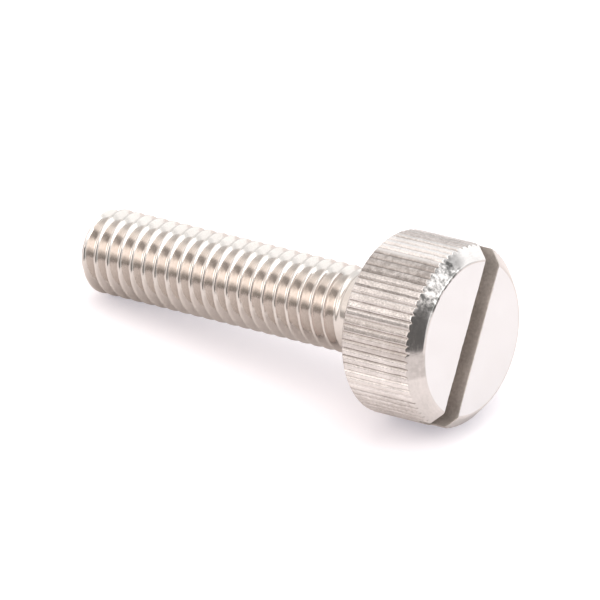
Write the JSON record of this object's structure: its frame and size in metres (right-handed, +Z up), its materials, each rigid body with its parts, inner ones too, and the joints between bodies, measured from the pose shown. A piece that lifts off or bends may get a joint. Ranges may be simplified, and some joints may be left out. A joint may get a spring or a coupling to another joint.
{
  "type": "adjusting screw",
  "caption": "Adjusting screw with a tall round head, straight knurl, bevelled slotted face, plain neck and fine right-hand thread, lying on its head rim and its tip.",
  "frame": {"origin": "on the bench, under the middle of the screw as it lies", "axes": "+X along the bench towards the head, +Y across the screw, +Z up; the screw's own axis falls from the head to the tip by 7.78 degrees in the XZ plane"},
  "size_m": [0.0314, 0.0124, 0.0129],
  "materials": {
    "nickel": "nickel plated, fine turned"
  },
  "bodies": {
    "root": {"adjusting_screw": "nickel"}
  },
  "joints": []
}
